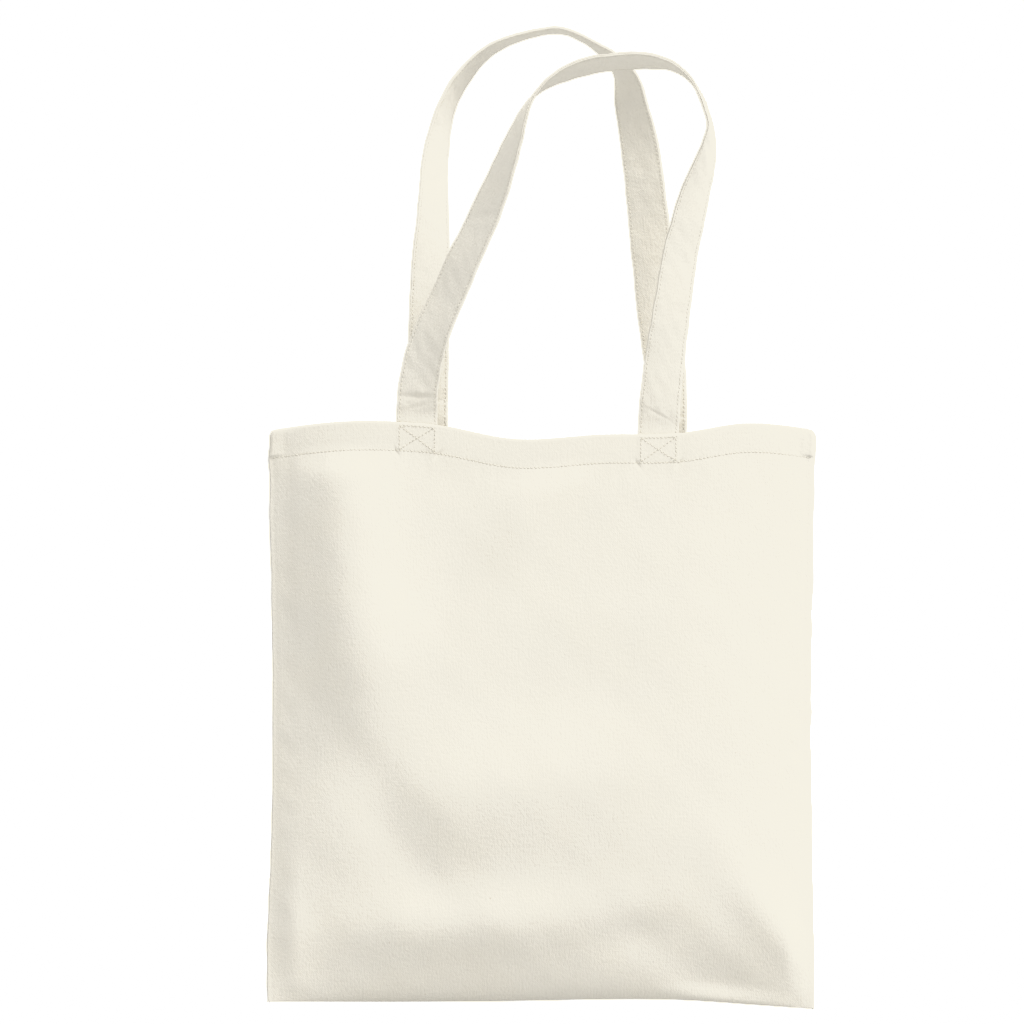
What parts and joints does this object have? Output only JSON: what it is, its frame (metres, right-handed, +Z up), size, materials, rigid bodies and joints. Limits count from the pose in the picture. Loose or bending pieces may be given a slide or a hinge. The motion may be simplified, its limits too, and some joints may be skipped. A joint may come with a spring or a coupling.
{
  "type": "tote bag",
  "caption": "Plain natural cotton canvas tote bag: one cloth folded at the bottom, sewn side seams, hemmed rim, and two long handles sewn inside the rim that fold over front and back.",
  "frame": {"origin": "the hanging point: on the bag's centre line, in the plane of its side seams, 620 mm above the bottom fold, just under both handles, where a hook or a hand takes the bag", "axes": "+X across the bag to the right as seen from the front, +Y to the back, +Z up, with the handles standing up"},
  "size_m": [0.3806, 0.1002, 0.6865],
  "materials": {
    "canvas": "natural unbleached plain-weave cotton canvas, matt",
    "strap_canvas": "the same canvas folded to a four-layer strap, matt",
    "thread": "natural spun sewing thread, slight sheen"
  },
  "bodies": {
    "bag": {"front_panel": "canvas", "front_hem": "canvas", "front_hem_stitching": "thread", "front_left_strap_end": "strap_canvas", "front_left_box_stitch": "thread", "front_right_strap_end": "strap_canvas", "front_right_box_stitch": "thread", "rear_panel": "canvas", "rear_hem": "canvas", "rear_hem_stitching": "thread", "rear_left_strap_end": "strap_canvas", "rear_left_box_stitch": "thread", "rear_right_strap_end": "strap_canvas", "rear_right_box_stitch": "thread", "left_seam_allowance": "canvas", "left_seam_stitching": "thread", "left_overlock_edge": "thread", "right_seam_allowance": "canvas", "right_seam_stitching": "thread", "right_overlock_edge": "thread"},
    "front_handle": {"front_handle_strap": "strap_canvas", "front_handle_outer_stitching": "thread", "front_handle_inner_stitching": "thread"},
    "rear_handle": {"rear_handle_strap": "strap_canvas", "rear_handle_outer_stitching": "thread", "rear_handle_inner_stitching": "thread"}
  },
  "joints": [
    {"name": "front_handle_fold", "type": "hinge", "parent": "bag", "child": "front_handle", "pos_m": [-0.0028, -0.01821, -0.22044], "axis": [0.9989, -0.0009, -0.047], "range_deg": [-4, 165]},
    {"name": "rear_handle_fold", "type": "hinge", "parent": "bag", "child": "rear_handle", "pos_m": [0.0036, 0.01295, -0.22025], "axis": [-0.9991, 0, 0.0413], "range_deg": [-4, 170]}
  ]
}
